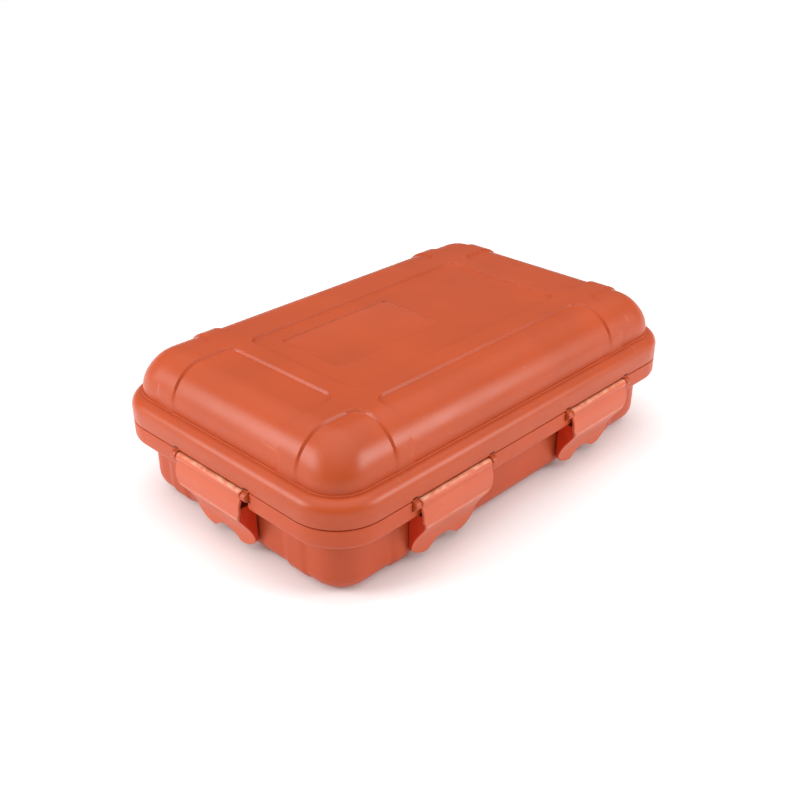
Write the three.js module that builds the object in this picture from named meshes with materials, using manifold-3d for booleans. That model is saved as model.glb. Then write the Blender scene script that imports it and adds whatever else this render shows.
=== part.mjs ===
// Pocket first aid kit in a two-part moulded case. Millimetres, +Z up, +X along the case, -Y to the front.
import * as THREE from 'three';
import { mergeVertices } from 'three/addons/utils/BufferGeometryUtils.js';
import Module from 'manifold-3d';

const wasm = await Module();
wasm.setup();

// Case
const CASE_L = 165;
const CASE_W = 105;
const CASE_H = 50;
const CORNER_R = 16.4;
const PARTING_Z = 27;
const CLEAR = 0.3;
const CORNER_STEPS = 3;

// Base shell, as distances in from the rim face
const BASE_RIM_H = 6.7;
const BASE_RIM_EDGE = 2;
const BOWL_INSET = 5.5;
const BOWL_EDGE = 6.8;
const BOWL_RELIEF = 0.5;
const BASE_CAVITY_INSET = 8;
const BASE_CAVITY_EDGE = 4.5;
const BASE_FLOOR = 2.9;

// Lid shell
const LID_RIM_TOP = 8.2;
const LID_RIM_EDGE = 4;
const LID_RIM_SLOPE = 4;
const DOME_INSET = 4.2;
const DOME_CORNER_R = 13.5;
const DOME_EDGE = 12.6;
const DOME_RELIEF = 0.55;
const LID_CAVITY_INSET = 8.8;
const LID_CAVITY_EDGE = 8.2;
const LID_CEILING = 46.9;
const LABEL = { x0: -40.5, x1: 5.2, y0: -9.5, y1: 17, floor: 48.85 };

// Raised bands that cross on the lid and the base
const BAND_X = [48.4, 55];
const BAND_Y = [24.1, 32];
const PANEL_R = 4;
const CORNER_PANEL_R = 5;

// Seal
const TONGUE_INSET = [6.1, 7.3];
const TONGUE_H = 2.2;
const GROOVE_INSET = [5.8, 7.6];
const GROOVE_H = 4;
const SEAL_INSET = [6, 7.4];
const SEAL_H = 1.5;

// Hinges
const HINGE_X = 36;
const HINGE_R = 2.4;
const HINGE_Y = CASE_W / 2 + HINGE_R + CLEAR;
const HINGE_BORE_R = 1.1;
const HINGE_PIN_R = 0.8;
const LID_KNUCKLE = 12;
const BASE_KNUCKLE = 7;

// Latches: widths are half widths, heights are from the parting plane
const LATCH_X = 35.8;
const LATCH_Y = 1.5;
const BEAD_OUT = 0.15;
const BEAD_Z = -1.6;
const BEAD_R = 1.45;
const PLATE_HALF = 15.2;
const TAB_HALF = 14;
const LUG_OUT = 17.8;
const SOCKET_R = 0.95;
const TRUNNION_R = 0.7;
const CREST_Z = -9.6;
const TAB_BOTTOM = -24.4;
const ARCH_HALF = 6.4;
const ARCH_TOP = -21.7;
const CHEEK = 1.2;
const SEAT_HALF = 14.4;
const SEAT_SWEEP = 2.9;

// The case stands with its whole outline centred on the origin
const FRONT_REACH = CASE_W / 2 + 2.2;
const REAR_REACH = HINGE_Y + HINGE_R;
const CENTRE_Y = (REAR_REACH - FRONT_REACH) / 2;

function solidOf(geometry) {
  const bare = geometry.clone();
  bare.deleteAttribute('normal');
  bare.deleteAttribute('uv');
  const merged = mergeVertices(bare, 1e-4);
  return new wasm.Manifold(new wasm.Mesh({
    numProp: 3,
    vertProperties: new Float32Array(merged.attributes.position.array),
    triVerts: new Uint32Array(merged.index.array),
  }));
}

function roundedRect(length, width, radius) {
  const x = length / 2;
  const y = width / 2;
  const r = radius;
  const shape = new THREE.Shape();
  shape.moveTo(-x + r, -y);
  shape.lineTo(x - r, -y);
  shape.absarc(x - r, -y + r, r, -Math.PI / 2, 0);
  shape.lineTo(x, y - r);
  shape.absarc(x - r, y - r, r, 0, Math.PI / 2);
  shape.lineTo(-x + r, y);
  shape.absarc(-x + r, y - r, r, Math.PI / 2, Math.PI);
  shape.lineTo(-x, -y + r);
  shape.absarc(-x + r, -y + r, r, Math.PI, Math.PI * 1.5);
  return shape;
}

// Block with a rounded rectangle for a plan and both of its ends rounded over
function slab(length, width, radius, z0, z1, edge = 0, slope = edge, steps = CORNER_STEPS) {
  const geometry = new THREE.ExtrudeGeometry(roundedRect(length, width, radius), {
    depth: z1 - z0 - 2 * edge,
    curveSegments: steps,
    bevelEnabled: edge > 0,
    bevelThickness: edge,
    bevelSize: slope,
    bevelOffset: -slope,
    bevelSegments: 4,
  });
  geometry.translate(0, 0, z0 + edge);
  return geometry;
}

// The same, set in from the rim face all round
function inset(distance, radius, z0, z1, edge = 0, slope = edge) {
  return solidOf(slab(CASE_L - 2 * distance, CASE_W - 2 * distance, radius, z0, z1, edge, slope));
}

function box(x0, x1, y0, y1, z0, z1) {
  const geometry = new THREE.BoxGeometry(x1 - x0, y1 - y0, z1 - z0);
  geometry.translate((x0 + x1) / 2, (y0 + y1) / 2, (z0 + z1) / 2);
  return geometry;
}

function barAlongX(radius, x0, x1, y, z, sides) {
  const geometry = new THREE.CylinderGeometry(radius, radius, x1 - x0, sides);
  geometry.rotateZ(Math.PI / 2);
  geometry.translate((x0 + x1) / 2, y, z);
  return geometry;
}

// Section drawn as [y, z] points, run along X
function sectionAlongX(points, x0, x1) {
  const shape = new THREE.Shape(points.map(([y, z]) => new THREE.Vector2(y, z)));
  const geometry = new THREE.ExtrudeGeometry(shape, { depth: x1 - x0, bevelEnabled: false });
  geometry.applyMatrix4(new THREE.Matrix4().makeBasis(
    new THREE.Vector3(0, 1, 0),
    new THREE.Vector3(0, 0, 1),
    new THREE.Vector3(1, 0, 0),
  ));
  geometry.translate(x0, 0, 0);
  return geometry;
}

function ring(outer, inner, z0, z1) {
  return inset(outer, CORNER_R - outer, z0, z1)
    .subtract(inset(inner, CORNER_R - inner, z0 - 1, z1 + 1));
}

// The nine sunk panels, as upright blocks that reach past the case on every side
function panels() {
  const far = 120;
  const middle = solidOf(slab(2 * BAND_X[0], 2 * BAND_Y[0], PANEL_R, -5, 60, 0, 0, 1));
  let all = middle;
  for (const side of [-1, 1]) {
    const end = slab(far, 2 * BAND_Y[0], PANEL_R, -5, 60, 0, 0, 1);
    end.translate(side * (BAND_X[1] + far / 2), 0, 0);
    const flank = slab(2 * BAND_X[0], far, PANEL_R, -5, 60, 0, 0, 1);
    flank.translate(0, side * (BAND_Y[1] + far / 2), 0);
    all = all.add(solidOf(end)).add(solidOf(flank));
    for (const row of [-1, 1]) {
      const corner = slab(far, far, CORNER_PANEL_R, -5, 60, 0, 0, 1);
      corner.translate(side * (BAND_X[1] + far / 2), row * (BAND_Y[1] + far / 2), 0);
      all = all.add(solidOf(corner));
    }
  }
  return all;
}

// Latch places: out is the way the latch faces, and sweep the end that needs room as the lid swings
const sites = [
  { name: 'front_left_latch', x: -LATCH_X, y: -CASE_W / 2, turn: 0, sweep: 0 },
  { name: 'front_right_latch', x: LATCH_X, y: -CASE_W / 2, turn: 0, sweep: 0 },
  { name: 'left_latch', x: -CASE_L / 2, y: LATCH_Y, turn: -Math.PI / 2, sweep: 1 },
  { name: 'right_latch', x: CASE_L / 2, y: LATCH_Y, turn: Math.PI / 2, sweep: -1 },
];

function atSite(geometry, site) {
  geometry.rotateZ(site.turn);
  geometry.translate(site.x, site.y, PARTING_Z);
  return geometry;
}

const sunk = panels();
const above = (z) => solidOf(box(-200, 200, -200, 200, z, z + 200));
const below = (z) => solidOf(box(-200, 200, -200, 200, z - 200, z));

// Base shell
const baseTop = PARTING_Z - CLEAR / 2;
const rimBottom = PARTING_Z - BASE_RIM_H;
const bowlR = CORNER_R - BOWL_INSET;
let base = inset(BOWL_INSET, bowlR, 0, 60, BOWL_EDGE).subtract(sunk);
base = base.add(inset(BOWL_INSET + BOWL_RELIEF, bowlR - BOWL_RELIEF, BOWL_RELIEF, 60, BOWL_EDGE));
base = base.add(inset(0, CORNER_R, rimBottom, 60, BASE_RIM_EDGE));
base = base.subtract(above(baseTop));
base = base.add(ring(TONGUE_INSET[0], TONGUE_INSET[1], baseTop - 1, baseTop + TONGUE_H));
base = base.subtract(inset(
  BASE_CAVITY_INSET,
  CORNER_R - BASE_CAVITY_INSET,
  BASE_FLOOR,
  60,
  BASE_CAVITY_EDGE,
));

// Seats behind the latches, and the pockets that the lid's lugs hang into
for (const site of sites) {
  const low = -SEAT_HALF - (site.sweep < 0 ? SEAT_SWEEP : 0);
  const high = SEAT_HALF + (site.sweep > 0 ? SEAT_SWEEP : 0);
  const seat = box(low, high, -5, BOWL_INSET, -BASE_RIM_H - 1, 5);
  const pocket = box(-LUG_OUT - CLEAR, LUG_OUT + CLEAR, -5, BEAD_R + CLEAR, BEAD_Z - BEAD_R - CLEAR, 5);
  base = base.subtract(solidOf(atSite(seat, site))).subtract(solidOf(atSite(pocket, site)));
}

// Hinge knuckles: two on the base with the lid's one between them
const knuckleOut = LID_KNUCKLE / 2 + CLEAR;
for (const side of [-1, 1]) {
  for (const end of [-1, 1]) {
    const near = side * HINGE_X + end * knuckleOut;
    const far = near + end * BASE_KNUCKLE;
    const x0 = Math.min(near, far);
    const x1 = Math.max(near, far);
    const web = [
      [CASE_W / 2 - 1, baseTop],
      [CASE_W / 2 - 1, rimBottom + 1],
      [CASE_W / 2 + 0.2, rimBottom + 1],
      [HINGE_Y + HINGE_R * 0.87, PARTING_Z - HINGE_R * 0.5],
      [HINGE_Y, PARTING_Z],
      [HINGE_Y - 1.5, baseTop],
    ];
    base = base.add(solidOf(sectionAlongX(web, x0, x1)));
    base = base.add(solidOf(barAlongX(HINGE_R, x0, x1, HINGE_Y, PARTING_Z, 24)));
  }
  const reach = knuckleOut + BASE_KNUCKLE + 1;
  const bore = barAlongX(HINGE_BORE_R, side * HINGE_X - reach, side * HINGE_X + reach, HINGE_Y, PARTING_Z, 16);
  base = base.subtract(solidOf(bore));
}

// Lid shell
const lidBottom = PARTING_Z + CLEAR / 2;
let lid = inset(DOME_INSET, DOME_CORNER_R, -60, CASE_H, DOME_EDGE).subtract(sunk);
lid = lid.add(inset(DOME_INSET + DOME_RELIEF, DOME_CORNER_R - DOME_RELIEF, -60, CASE_H - DOME_RELIEF, DOME_EDGE));
lid = lid.add(inset(0, CORNER_R, -60, PARTING_Z + LID_RIM_TOP, LID_RIM_EDGE, LID_RIM_SLOPE));
lid = lid.subtract(below(lidBottom));
lid = lid.subtract(inset(
  LID_CAVITY_INSET,
  CORNER_R - LID_CAVITY_INSET + 1.5,
  -60,
  LID_CEILING,
  LID_CAVITY_EDGE,
));
lid = lid.subtract(ring(GROOVE_INSET[0], GROOVE_INSET[1], lidBottom - 1, lidBottom + GROOVE_H));
lid = lid.subtract(solidOf(box(LABEL.x0, LABEL.x1, LABEL.y0, LABEL.y1, LABEL.floor, 60)));

// Lugs that hang below the lid's rim and take the latch trunnions in blind sockets
for (const site of sites) {
  for (const end of [-1, 1]) {
    const near = end * (PLATE_HALF + CLEAR);
    const far = end * LUG_OUT;
    const x0 = Math.min(near, far);
    const x1 = Math.max(near, far);
    const socketEnd = end * (LUG_OUT - 0.8);
    const lug = barAlongX(BEAD_R, x0, x1, -BEAD_OUT, BEAD_Z, 16);
    const neck = box(x0, x1, 0, 1.3, BEAD_Z, 1);
    const socket = barAlongX(
      SOCKET_R,
      Math.min(end * PLATE_HALF, socketEnd),
      Math.max(end * PLATE_HALF, socketEnd),
      -BEAD_OUT,
      BEAD_Z,
      12,
    );
    lid = lid.add(solidOf(atSite(lug, site))).add(solidOf(atSite(neck, site)));
    lid = lid.subtract(solidOf(atSite(socket, site)));
  }
}

for (const side of [-1, 1]) {
  const x0 = side * HINGE_X - LID_KNUCKLE / 2;
  const x1 = side * HINGE_X + LID_KNUCKLE / 2;
  const web = [
    [CASE_W / 2 - 1, lidBottom],
    [HINGE_Y - 1.5, lidBottom],
    [HINGE_Y, PARTING_Z],
    [HINGE_Y + HINGE_R * 0.87, PARTING_Z + HINGE_R * 0.5],
    [CASE_W / 2 + 0.2, PARTING_Z + LID_RIM_TOP - LID_RIM_EDGE],
    [CASE_W / 2 - 1, PARTING_Z + LID_RIM_TOP - LID_RIM_EDGE],
  ];
  lid = lid.add(solidOf(sectionAlongX(web, x0, x1)));
  lid = lid.add(solidOf(barAlongX(HINGE_R, x0, x1, HINGE_Y, PARTING_Z, 24)));
  lid = lid.subtract(solidOf(barAlongX(HINGE_BORE_R, x0 - 1, x1 + 1, HINGE_Y, PARTING_Z, 16)));
}

// Latch, built facing -Y with its middle on the rim face at the parting plane
function latchSolid() {
  const skin = [
    [-0.3, BEAD_Z],
    [-1.3, -2.6],
    [-1.45, -3.4],
    [-2, -4.6],
    [-2.2, -6],
    [-2.2, CREST_Z],
    [-1.4, -10.9],
    [0.1, -13],
    [1.7, -15.2],
    [3, -17.4],
    [3.8, -19.3],
    [4.15, -21.5],
    [4.2, -25],
    [5.2, -25],
    [5.2, -20],
    [4.7, -18],
    [3.4, -15.7],
    [1.7, -13.2],
    [0.1, -11],
    [-0.4, -9.6],
    [-0.4, -3.2],
    [0.6, BEAD_Z],
  ];
  const outline = new THREE.Shape();
  outline.moveTo(-PLATE_HALF, 0);
  outline.lineTo(-PLATE_HALF, CREST_Z + 2.4);
  outline.quadraticCurveTo(-PLATE_HALF, CREST_Z + 0.4, -TAB_HALF, CREST_Z - 0.6);
  outline.lineTo(-TAB_HALF, TAB_BOTTOM + 4);
  outline.quadraticCurveTo(-TAB_HALF + 2.2, TAB_BOTTOM + 0.2, -ARCH_HALF, TAB_BOTTOM);
  outline.quadraticCurveTo(0, 2 * ARCH_TOP - TAB_BOTTOM, ARCH_HALF, TAB_BOTTOM);
  outline.quadraticCurveTo(TAB_HALF - 2.2, TAB_BOTTOM + 0.2, TAB_HALF, TAB_BOTTOM + 4);
  outline.lineTo(TAB_HALF, CREST_Z - 0.6);
  outline.quadraticCurveTo(PLATE_HALF, CREST_Z + 0.4, PLATE_HALF, CREST_Z + 2.4);
  outline.lineTo(PLATE_HALF, 0);
  const front = new THREE.ExtrudeGeometry(outline, { depth: 20, curveSegments: 4, bevelEnabled: false });
  front.rotateX(Math.PI / 2);
  front.translate(0, 10, 0);

  const cheek = [
    [-0.8, -BASE_RIM_H - CLEAR],
    [5.2, -BASE_RIM_H - CLEAR],
    [5.2, -20.6],
    [4.6, -20.6],
    [3.6, -17.7],
    [2.2, -15],
    [0.6, -12.6],
    [-0.8, -10.4],
  ];
  let body = solidOf(sectionAlongX(skin, -PLATE_HALF, PLATE_HALF)).intersect(solidOf(front));
  body = body.add(solidOf(sectionAlongX(cheek, -TAB_HALF, -TAB_HALF + CHEEK)));
  body = body.add(solidOf(sectionAlongX(cheek, TAB_HALF - CHEEK, TAB_HALF)));
  const rib = box(-TAB_HALF + 0.5, TAB_HALF - 0.5, -1, 2.6, -BASE_RIM_H - CLEAR - 1.3, -BASE_RIM_H - CLEAR);
  body = body.add(solidOf(rib));
  body = body.add(solidOf(barAlongX(BEAD_R, -PLATE_HALF, PLATE_HALF, -BEAD_OUT, BEAD_Z, 16)));
  const trunnion = PLATE_HALF + 1.6;
  return body.add(solidOf(barAlongX(TRUNNION_R, -trunnion, trunnion, -BEAD_OUT, BEAD_Z, 12)));
}

// Materials
const shellOrange = new THREE.MeshStandardMaterial({ color: 0xc8603e, roughness: 0.45, metalness: 0 });
const baseOrange = new THREE.MeshStandardMaterial({ color: 0xc65f40, roughness: 0.45, metalness: 0 });
const latchOrange = new THREE.MeshStandardMaterial({ color: 0xe4765a, roughness: 0.4, metalness: 0 });
const steel = new THREE.MeshStandardMaterial({ color: 0xb9bcc0, roughness: 0.3, metalness: 1 });
const silicone = new THREE.MeshStandardMaterial({ color: 0x2b2b2d, roughness: 0.8, metalness: 0 });
const foam = new THREE.MeshStandardMaterial({ color: 0x3a3c40, roughness: 0.95, metalness: 0 });
const gauze = new THREE.MeshStandardMaterial({ color: 0xeeebe2, roughness: 0.9, metalness: 0 });
const tape = new THREE.MeshStandardMaterial({ color: 0xf3f1ea, roughness: 0.7, metalness: 0 });
const card = new THREE.MeshStandardMaterial({ color: 0xa98c66, roughness: 0.9, metalness: 0 });
const paper = new THREE.MeshStandardMaterial({ color: 0xf2f4f5, roughness: 0.7, metalness: 0 });
const sleeve = new THREE.MeshStandardMaterial({ color: 0xe9dcc6, roughness: 0.7, metalness: 0 });
const sachet = new THREE.MeshStandardMaterial({ color: 0x7fb4cf, roughness: 0.35, metalness: 0 });

const group = new THREE.Group();

function addPiece(name, geometry, material) {
  const mesh = new THREE.Mesh(geometry, material.clone());
  mesh.name = name;
  geometry.translate(0, -CENTRE_Y, 0);
  group.add(mesh);
}

function geometryOf(solid) {
  const { vertProperties, triVerts } = solid.getMesh();
  const geometry = new THREE.BufferGeometry();
  geometry.setAttribute('position', new THREE.BufferAttribute(new Float32Array(vertProperties), 3));
  geometry.setIndex(new THREE.BufferAttribute(new Uint32Array(triVerts), 1));
  geometry.computeVertexNormals();
  return geometry;
}

addPiece('base_shell', geometryOf(base), baseOrange);
addPiece('lid_shell', geometryOf(lid), shellOrange);
for (const site of sites) {
  addPiece(site.name, atSite(geometryOf(latchSolid()), site), latchOrange);
}

// Seal ring, held in the lid's groove above the base's tongue
const sealTop = lidBottom + GROOVE_H - CLEAR;
addPiece('seal_ring', geometryOf(ring(SEAL_INSET[0], SEAL_INSET[1], sealTop - SEAL_H, sealTop)), silicone);

// Hinge pins
const pinHalf = knuckleOut + BASE_KNUCKLE - 0.5;
for (const [name, x] of [['hinge_pin_left', -HINGE_X], ['hinge_pin_right', HINGE_X]]) {
  addPiece(name, barAlongX(HINGE_PIN_R, x - pinHalf, x + pinHalf, HINGE_Y, PARTING_Z, 16), steel);
}

// Foam pads, cut to the flat of the floor and of the ceiling
const PAD_H = 3;
const padBottom = BASE_FLOOR + CLEAR;
const padTop = LID_CEILING - CLEAR;
addPiece('base_foam_pad', geometryOf(inset(11.2, 6, padBottom, padBottom + PAD_H)), foam);
addPiece('lid_foam_pad', geometryOf(inset(15.9, 3, padTop - PAD_H, padTop)), foam);

// Contents, lying on the base pad
const FLOOR = padBottom + PAD_H + CLEAR;

const BANDAGE_R = 9.3;
const BANDAGE_L = 60;
for (const [name, x] of [['bandage_roll_left', -58], ['bandage_roll_right', -38.4]]) {
  const roll = new THREE.CylinderGeometry(BANDAGE_R, BANDAGE_R, BANDAGE_L, 24);
  roll.translate(x, -10.5, FLOOR + BANDAGE_R);
  addPiece(name, roll, gauze);
}

function hoop(outer, inner, height) {
  const profile = [
    new THREE.Vector2(inner, 0),
    new THREE.Vector2(outer, 0),
    new THREE.Vector2(outer, height),
    new THREE.Vector2(inner, height),
    new THREE.Vector2(inner, 0),
  ];
  const geometry = new THREE.LatheGeometry(profile, 28);
  geometry.rotateX(Math.PI / 2);
  return geometryOf(solidOf(geometry));
}

const TAPE_X = -50;
const TAPE_Y = 31.5;
const tapeRoll = hoop(11.4, 7.9, 12.5);
tapeRoll.translate(TAPE_X, TAPE_Y, FLOOR);
addPiece('tape_roll', tapeRoll, tape);
const tapeCore = hoop(7.6, 6.4, 12.5);
tapeCore.translate(TAPE_X, TAPE_Y, FLOOR);
addPiece('tape_core', tapeCore, card);

// Flat packets: a stack of like ones, each turned a little against the next
function stack(names, length, width, height, x, y, z, turns, material) {
  names.forEach((name, i) => {
    const packet = slab(length, width, 1.5, 0, height, 0, 0, 1);
    packet.rotateZ(THREE.MathUtils.degToRad(turns[i]));
    packet.translate(x, y, z + i * (height + CLEAR));
    addPiece(name, geometryOf(solidOf(packet)), material);
  });
}

const GAUZE_H = 3.2;
stack(
  ['gauze_packet_lower', 'gauze_packet_middle', 'gauze_packet_upper'],
  56, 56, GAUZE_H, 3.5, -12.5, FLOOR, [0, -2.5, 2], paper,
);
stack(
  ['wipe_sachet_lower', 'wipe_sachet_upper'],
  50, 46, 2.2, 3, -12.5, FLOOR + 3 * (GAUZE_H + CLEAR), [3, -3], sachet,
);
stack(
  ['plaster_lower', 'plaster_middle', 'plaster_upper'],
  72, 19, 1.2, 2, 31, FLOOR, [0, 2, -1.5], sleeve,
);

// Tweezers: two bowed arms joined at the rear end, lying on edge
const TWEEZERS_X = 43;
const arms = new THREE.Shape();
arms.moveTo(-1.1, 39);
arms.lineTo(1.1, 39);
arms.lineTo(2.6, 26);
arms.quadraticCurveTo(5.2, 0, 2.6, -40);
arms.lineTo(1.7, -41);
arms.quadraticCurveTo(3.6, -2, 1.3, 24);
arms.lineTo(0, 31);
arms.lineTo(-1.3, 24);
arms.quadraticCurveTo(-3.6, -2, -1.7, -41);
arms.lineTo(-2.6, -40);
arms.quadraticCurveTo(-5.2, 0, -2.6, 26);
const tweezers = new THREE.ExtrudeGeometry(arms, { depth: 7, curveSegments: 6, bevelEnabled: false });
tweezers.translate(TWEEZERS_X, 0, FLOOR);
addPiece('tweezers', tweezers, steel);

export default group;
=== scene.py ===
# Pocket first aid kit in a two-part moulded case. Metres, +Z up, +X along the case, -Y to the front.
import math

import bmesh
import bpy
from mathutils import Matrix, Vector


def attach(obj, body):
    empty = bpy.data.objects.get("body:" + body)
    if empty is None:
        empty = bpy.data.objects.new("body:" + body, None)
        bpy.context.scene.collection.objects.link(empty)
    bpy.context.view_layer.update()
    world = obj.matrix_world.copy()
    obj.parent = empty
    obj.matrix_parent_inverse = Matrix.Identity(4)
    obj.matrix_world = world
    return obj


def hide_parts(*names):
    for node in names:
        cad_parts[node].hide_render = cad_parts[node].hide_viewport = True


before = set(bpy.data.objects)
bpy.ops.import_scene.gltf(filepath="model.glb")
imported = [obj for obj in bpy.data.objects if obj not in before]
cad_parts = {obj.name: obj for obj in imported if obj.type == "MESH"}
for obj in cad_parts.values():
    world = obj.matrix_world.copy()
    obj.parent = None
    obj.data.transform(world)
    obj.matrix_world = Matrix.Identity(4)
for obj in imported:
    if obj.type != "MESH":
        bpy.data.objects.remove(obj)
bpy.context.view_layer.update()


# Camera: a short telephoto that stands in front and to the left, and looks a little down on the case.
bpy.ops.object.camera_add(
    location=(-0.2259, -0.21515, 0.1861),
    rotation=(math.radians(61.7), 0, math.radians(-46.04)),
)
camera = bpy.context.object
camera.data.lens = 46.06
camera.data.sensor_width = 36
camera.data.clip_start = 0.01
bpy.context.scene.camera = camera


# Studio: a white sweep under a sky that is bright overhead and dim round the sides, with a softbox on each
# side.
scene = bpy.context.scene
scene.view_settings.view_transform = "Standard"
world = bpy.data.worlds.new("studio_sky")
world.use_nodes = True
sky, link = world.node_tree.nodes, world.node_tree.links.new
direction, split = sky.new("ShaderNodeTexCoord"), sky.new("ShaderNodeSeparateXYZ")
overhead = sky.new("ShaderNodeMapRange")
overhead.interpolation_type = "SMOOTHSTEP"
overhead.inputs["From Min"].default_value = 0.5
overhead.inputs["From Max"].default_value = 0.95
overhead.inputs["To Min"].default_value = 0.24
overhead.inputs["To Max"].default_value = 2.0
link(direction.outputs["Generated"], split.inputs[0])
link(split.outputs["Z"], overhead.inputs["Value"])
link(overhead.outputs["Result"], sky["Background"].inputs["Strength"])
sky["Background"].inputs["Color"].default_value = (1, 1, 1, 1)
scene.world = world


def softbox(name, place, size, power):
    bpy.ops.object.light_add(type="AREA", location=place)
    box = bpy.context.object
    box.name = name
    box.data.shape = "RECTANGLE"
    box.data.size, box.data.size_y = size
    box.data.energy = power
    box.rotation_euler = (Vector((0, 0, 0.03)) - Vector(place)).to_track_quat("-Z", "Y").to_euler()


softbox("softbox_left", (-0.68, 0.42, 0.37), (0.42, 0.34), 4.9)
softbox("softbox_right", (0.42, -0.69, 0.36), (0.38, 0.32), 3.8)

bpy.ops.mesh.primitive_plane_add(size=30, location=(0, 0, -0.0002))
floor = bpy.context.object
floor.name = "floor"
sweep = bpy.data.materials.new("white_sweep")
sweep.use_nodes = True
shader = sweep.node_tree.nodes["Principled BSDF"]
shader.inputs["Base Color"].default_value = (0.92, 0.92, 0.92, 1)
shader.inputs["Roughness"].default_value = 0.9
shader.inputs["Specular IOR Level"].default_value = 0.1
floor.data.materials.append(sweep)


# Lid: an injection-moulded polypropylene cover. A crowned dome with nine sunk panels between raised bands
# stands on a rim that rolls over to meet it. It carries the lugs of the four latches and a knuckle of each
# hinge. Every piece is modelled in millimetres about the middle of the case, and set down in metres.
MM = 0.001
ROW_SHIFT_Y = -0.00145
PARTING = 27.0
LID_BOTTOM, LID_RIM_TOP, LID_TOP = PARTING + 0.15, 35.2, 50
LABEL_FLOOR = 48.85
HALF_L, HALF_W, RIM_CORNER = 82.5, 52.5, 16.4
BAND_X, BAND_Y = (48.4, 55.0), (24.1, 32.0)
LATCH_SITES = {
    "front_left_latch": ((-35.8, -HALF_W), 0),
    "front_right_latch": ((35.8, -HALF_W), 0),
    "left_latch": ((-HALF_L, 1.5), -90),
    "right_latch": ((HALF_L, 1.5), 90),
}
HINGES_X = (-36.0, 36.0)
HINGE_Y = 55.2
BARREL_R, BORE_R = 2.4, 1.1
BEAD_R, BEAD_Y, BEAD_Z = 1.45, -0.15, -1.6


def pick(kind, test):
    """Selects the vertices, edges or faces that pass the test, by the place of their middle."""
    bpy.ops.mesh.select_mode(type=kind)
    bpy.ops.mesh.select_all(action="DESELECT")
    mesh = bmesh.from_edit_mesh(bpy.context.edit_object.data)
    for item in {"VERT": mesh.verts, "EDGE": mesh.edges, "FACE": mesh.faces}[kind]:
        if kind == "VERT":
            middle = item.co
        else:
            middle = sum((v.co for v in item.verts), Vector()) / len(item.verts)
        if test(middle, item):
            item.select_set(True)
    mesh.select_flush_mode()
    bmesh.update_edit_mesh(bpy.context.edit_object.data)


def choose(piece):
    bpy.ops.object.select_all(action="DESELECT")
    piece.select_set(True)
    bpy.context.view_layer.objects.active = piece


def settle(piece):
    """Puts a piece's move, turn and scale into its mesh."""
    choose(piece)
    bpy.ops.object.transform_apply(location=True, rotation=True, scale=True)


def edit(piece):
    choose(piece)
    bpy.ops.object.mode_set(mode="EDIT")


def done():
    bpy.ops.object.mode_set(mode="OBJECT")


def round_off(radius, steps, profile=0.5):
    bpy.ops.mesh.bevel(
        offset=radius, segments=steps, profile=profile, affect="EDGES", clamp_overlap=False
    )


def upright(middle, edge):
    a, b = (v.co for v in edge.verts)
    return abs(a.x - b.x) + abs(a.y - b.y) < 1e-4


def lying_at(height):
    return lambda middle, edge: all(abs(v.co.z - height) < 1e-4 for v in edge.verts)


def block(x, y, z):
    """A plain cube stretched over the three spans, as a start."""
    spans = (x, y, z)
    bpy.ops.mesh.primitive_cube_add(
        size=1,
        location=[sum(s) / 2 for s in spans],
        scale=[s[1] - s[0] for s in spans],
    )
    bpy.ops.object.transform_apply(location=True, rotation=True, scale=True)
    return bpy.context.object


def rounded_block(inset, z, corner, corner_steps, edge=0, edge_steps=1, edge_at=None):
    """A block set in from the rim face all round, with its upright edges and one end rounded."""
    piece = block((inset - HALF_L, HALF_L - inset), (inset - HALF_W, HALF_W - inset), z)
    edit(piece)
    pick("EDGE", upright)
    round_off(corner, corner_steps)
    if edge:
        pick("EDGE", lying_at(edge_at))
        round_off(edge, edge_steps)
    done()
    return piece


def slice_across(axis, places, test=None):
    """Cuts the mesh open into the faces that the relief needs, square to one axis."""
    for place in places:
        if test:
            pick("FACE", test)
        else:
            bpy.ops.mesh.select_all(action="SELECT")
        point, normal = [0, 0, 0], [0, 0, 0]
        point[axis], normal[axis] = place, 1
        bpy.ops.mesh.bisect(plane_co=point, plane_no=normal, threshold=1e-5)


def steps(start, end, count):
    return [start + (end - start) * i / count for i in range(count + 1)]


def mirrored(places):
    return [-p for p in places] + list(places)


def in_panel(x, y):
    """How far a point lies inside the nearest sunk panel, in millimetres; on the bands it is negative."""
    x, y, far = abs(x), abs(y), 200
    best = -far
    for span_x, span_y, corner in (
        ((-BAND_X[0], BAND_X[0]), (-BAND_Y[0], BAND_Y[0]), 4),
        ((-BAND_X[0], BAND_X[0]), (BAND_Y[1], far), 4),
        ((BAND_X[1], far), (-BAND_Y[0], BAND_Y[0]), 4),
        ((BAND_X[1], far), (BAND_Y[1], far), 5),
    ):
        dx = abs(x - sum(span_x) / 2) - (span_x[1] - span_x[0]) / 2 + corner
        dy = abs(y - sum(span_y) / 2) - (span_y[1] - span_y[0]) / 2 + corner
        outside = math.hypot(max(dx, 0), max(dy, 0)) + min(max(dx, dy), 0) - corner
        best = max(best, -outside)
    return best


def eased(value, width):
    t = min(max(value / width + 0.5, 0), 1)
    return t * t * (3 - 2 * t)


def sink_panels(piece, depth, ease_at, depth_at):
    """Sinks the panels along the surface's own normals, with an edge and a depth that vary with height."""
    panels = piece.vertex_groups.new(name="panels")
    for v in piece.data.vertices:
        share = depth_at(v.co.z) * eased(in_panel(v.co.x, v.co.y), ease_at(v.co.z))
        if share > 0:
            panels.add([v.index], share, "REPLACE")
    press = piece.modifiers.new("panels", "DISPLACE")
    press.vertex_group = "panels"
    press.direction = "NORMAL"
    press.mid_level = 0
    press.strength = -depth
    apply(piece)
    piece.vertex_groups.clear()


def apply(piece):
    choose(piece)
    for modifier in list(piece.modifiers):
        bpy.ops.object.modifier_apply(modifier=modifier.name)


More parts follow.
